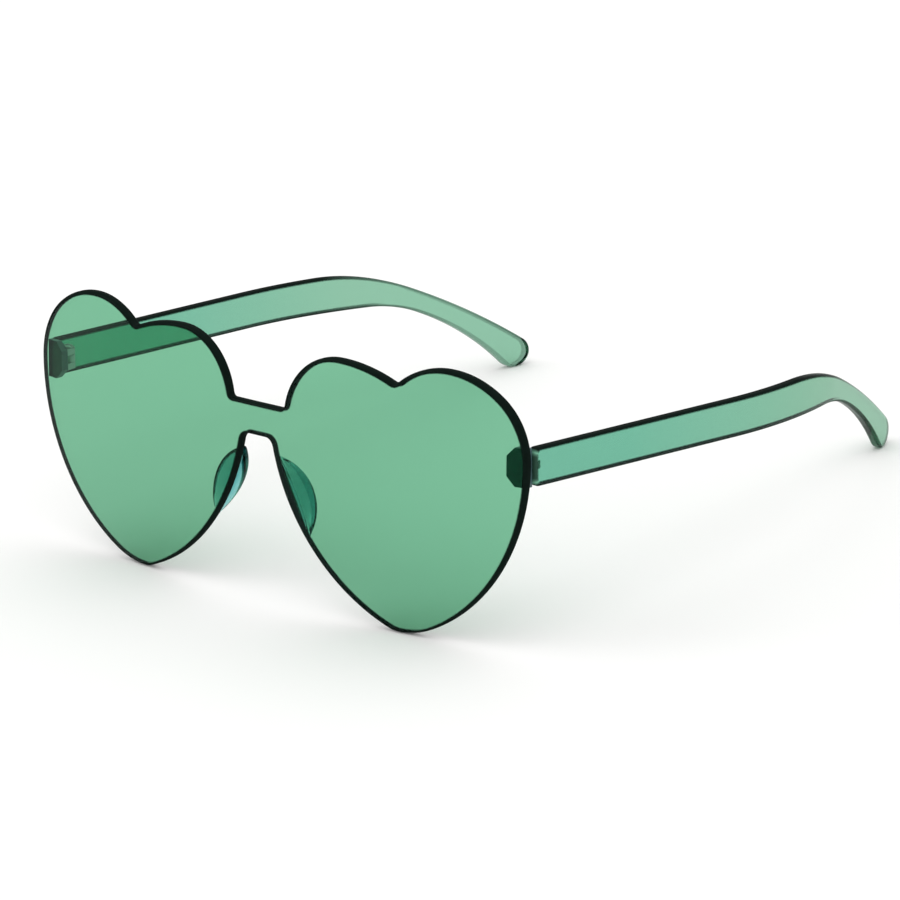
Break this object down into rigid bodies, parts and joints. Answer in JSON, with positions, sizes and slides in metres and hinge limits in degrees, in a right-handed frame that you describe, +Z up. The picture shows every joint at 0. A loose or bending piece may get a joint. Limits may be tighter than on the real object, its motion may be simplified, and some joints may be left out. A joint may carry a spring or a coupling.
{
  "type": "heart shaped sunglasses",
  "caption": "Rimless sunglasses with a one-piece tinted front of twin hearts and see-through temples that fold on screw hinges.",
  "frame": {"origin": "On the surface that the open sunglasses rest on, at the middle of the bounding box's bottom.", "axes": "+Z up, -Y the way the hearts face, +X to the wearer's left. The pair rests on its two heart points and its two temple tips."},
  "size_m": [0.1494, 0.1468, 0.0592],
  "materials": {
    "tinted_lens": "clear green tint, polished, about 2 mm thick",
    "tinted_temple": "clear green tint, polished",
    "clear_pad": "clear moulded plastic, nearly colourless",
    "smoky_block": "smoky green moulded plastic",
    "hinge_steel": "stamped and plated hinge leaf",
    "screw_steel": "bright slotted screw"
  },
  "bodies": {
    "front": {"lens_front": "tinted_lens", "nose_pad_left": "clear_pad", "nose_pad_right": "clear_pad", "end_block_left": "smoky_block", "end_block_right": "smoky_block", "front_hinge_leaf_left": "hinge_steel", "front_hinge_leaf_right": "hinge_steel", "hinge_screw_left": "screw_steel", "hinge_screw_right": "screw_steel"},
    "left_temple": {"temple_left": "tinted_temple", "temple_hinge_leaf_left": "hinge_steel"},
    "right_temple": {"temple_right": "tinted_temple", "temple_hinge_leaf_right": "hinge_steel"}
  },
  "joints": [
    {"name": "left_temple_fold", "type": "hinge", "parent": "front", "child": "left_temple", "pos_m": [0.068, -0.06036, 0.03997], "axis": [0, 0.1018, 0.9948], "range_deg": [0, 84]},
    {"name": "right_temple_fold", "type": "hinge", "parent": "front", "child": "right_temple", "pos_m": [-0.068, -0.06036, 0.03997], "axis": [0, -0.1018, -0.9948], "range_deg": [0, 72]}
  ]
}
